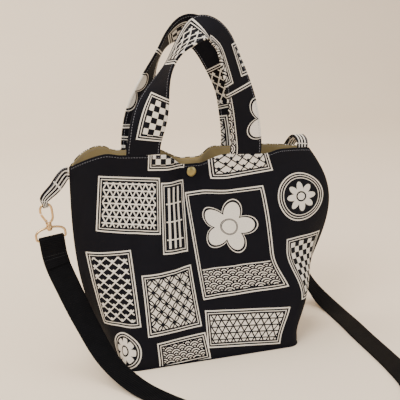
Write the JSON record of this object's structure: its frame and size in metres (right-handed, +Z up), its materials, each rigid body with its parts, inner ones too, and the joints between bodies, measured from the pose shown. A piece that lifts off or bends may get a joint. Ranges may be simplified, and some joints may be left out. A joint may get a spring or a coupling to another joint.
{
  "type": "tote bag",
  "caption": "Lined cotton tote bag with a boxed base, a pair of flat handles, a press snap at the mouth and a clip-on webbing shoulder strap.",
  "frame": {"origin": "on the floor, under the middle of the bag without its strap and clip hardware", "axes": "+Z up, front of the bag (the snap cap) towards -Y, +X to the right as seen from the front"},
  "size_m": [0.4356, 0.3885, 0.4163],
  "materials": {
    "canvas": "printed cotton canvas, dark ground with pale line pattern",
    "lining": "plain woven cotton, mustard",
    "webbing": "ribbed webbing, black",
    "snap": "antique brass, satin",
    "gilt": "pale gold plate, polished",
    "steel": "plain"
  },
  "bodies": {
    "bag": {"back_panel": "canvas", "back_lining": "lining", "base_panel": "canvas", "base_lining": "lining", "snap_stud": "snap", "snap_back_cap": "snap", "left_tab": "canvas", "right_tab": "canvas", "left_strap_ring": "gilt", "right_strap_ring": "gilt", "shoulder_strap": "webbing"},
    "front_wall": {"front_panel": "canvas", "front_lining": "lining", "snap_cap": "snap", "snap_socket": "snap"},
    "front_grip": {"front_handle": "canvas"},
    "back_grip": {"back_handle": "canvas"},
    "left_hook": {"left_hook_body": "gilt", "left_gate_pin": "steel"},
    "left_gate": {"left_hook_gate": "gilt", "left_gate_spring": "steel"},
    "right_hook": {"right_hook_body": "gilt", "right_gate_pin": "steel"},
    "right_gate": {"right_hook_gate": "gilt", "right_gate_spring": "steel"}
  },
  "joints": [
    {"name": "mouth_open", "type": "hinge", "parent": "bag", "child": "front_wall", "pos_m": [0.00622, -0.069, 0.0014], "axis": [1, 0, 0], "range_deg": [0, 9]},
    {"name": "front_handle_swing", "type": "hinge", "parent": "front_wall", "child": "front_grip", "pos_m": [-0.00528, -0.023, 0.25094], "axis": [0.9986, 0, -0.0523], "range_deg": [0, 140]},
    {"name": "back_handle_swing", "type": "hinge", "parent": "bag", "child": "back_grip", "pos_m": [-0.00528, 0.023, 0.2529], "axis": [-0.9997, 0, 0.0227], "range_deg": [0, 140]},
    {"name": "left_hook_swivel", "type": "hinge", "parent": "bag", "child": "left_hook", "pos_m": [-0.18278, -0.001, 0.17], "axis": [-0.1392, 0, 0.9903], "range_deg": [-20, 20]},
    {"name": "right_hook_swivel", "type": "hinge", "parent": "bag", "child": "right_hook", "pos_m": [0.15122, 0.062, 0.178], "axis": [0, 0, 1], "range_deg": [-20, 20]},
    {"name": "left_gate_press", "type": "hinge", "parent": "left_hook", "child": "left_gate", "pos_m": [-0.1865, -0.001, 0.17776], "axis": [0, 1, 0], "range_deg": [0, 25], "stiffness_Nm_per_rad": 0.01, "springref_deg": -11.46},
    {"name": "right_gate_press", "type": "hinge", "parent": "right_hook", "child": "right_gate", "pos_m": [0.14862, 0.062, 0.1862], "axis": [0, 1, 0], "range_deg": [0, 25], "stiffness_Nm_per_rad": 0.01, "springref_deg": -11.46}
  ]
}
